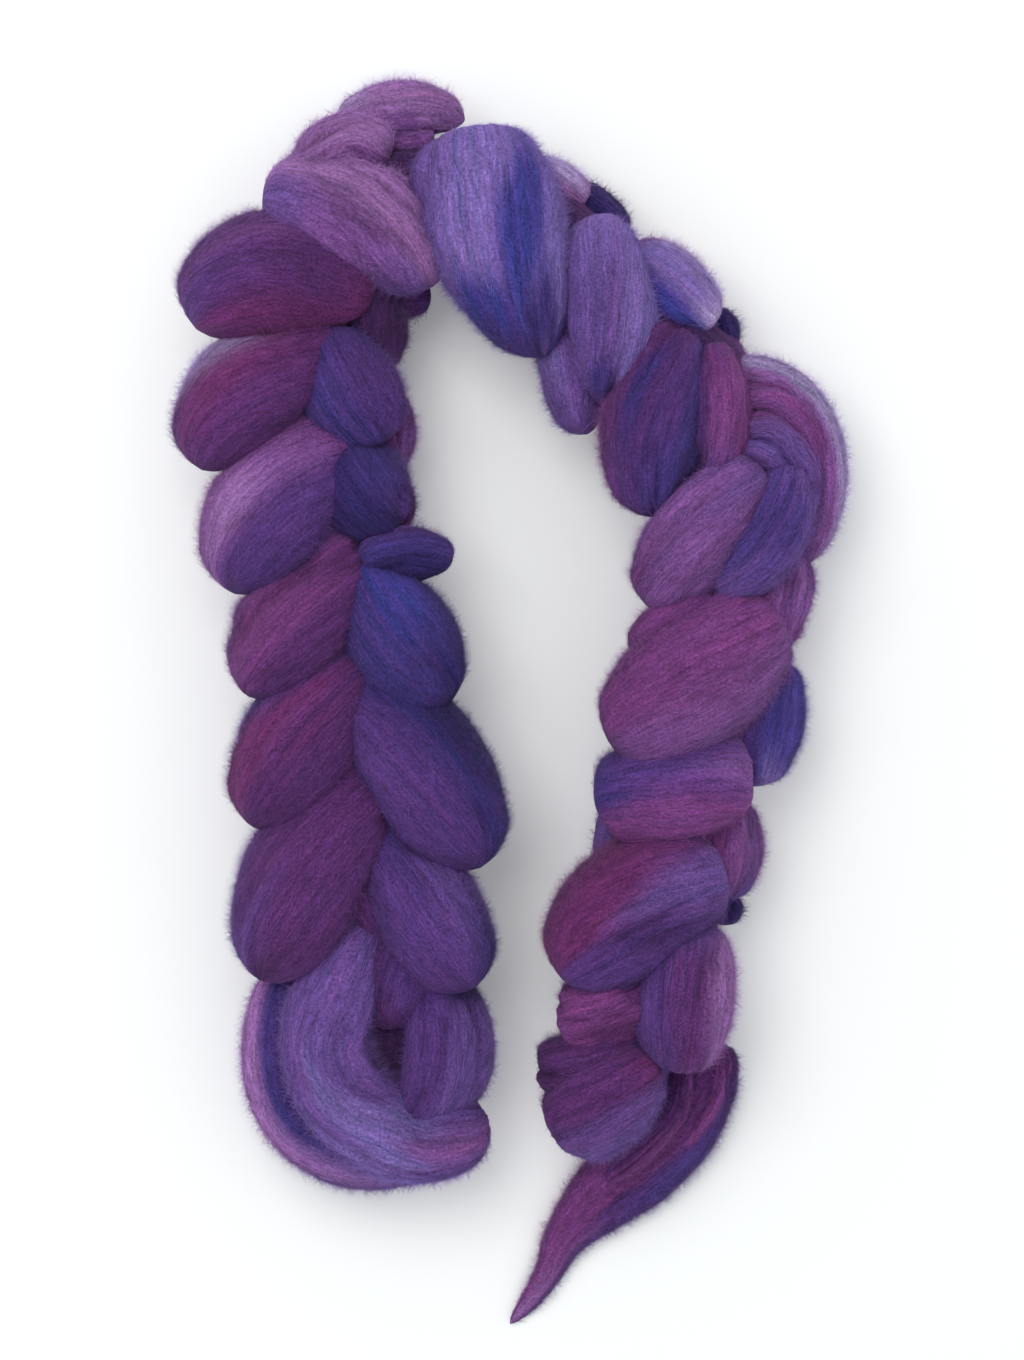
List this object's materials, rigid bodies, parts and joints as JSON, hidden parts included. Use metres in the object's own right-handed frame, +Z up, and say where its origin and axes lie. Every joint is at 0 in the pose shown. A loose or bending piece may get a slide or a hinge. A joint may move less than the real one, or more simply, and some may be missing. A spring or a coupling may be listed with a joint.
{
  "type": "braid of wool roving",
  "caption": "Chained braid of hand-dyed wool roving for spinning or felting, lying in a bend, with an open loop at one end and a wispy loose end at the other.",
  "frame": {"origin": "middle of the bounding box, on the surface that the braid lies on", "axes": "+Z up from that surface, +Y along the arms towards the bend, +X across from the arm with the open loop to the arm with the loose end"},
  "size_m": [0.2406, 0.4524, 0.0719],
  "materials": {
    "braid": "soft matt combed wool, dyed in streaks of violet, blue-violet, plum and magenta",
    "loose_end": "soft matt combed wool, plum to crimson with a blue-violet streak"
  },
  "bodies": {
    "root": {"braid": "braid", "loose_end": "loose_end"}
  },
  "joints": []
}
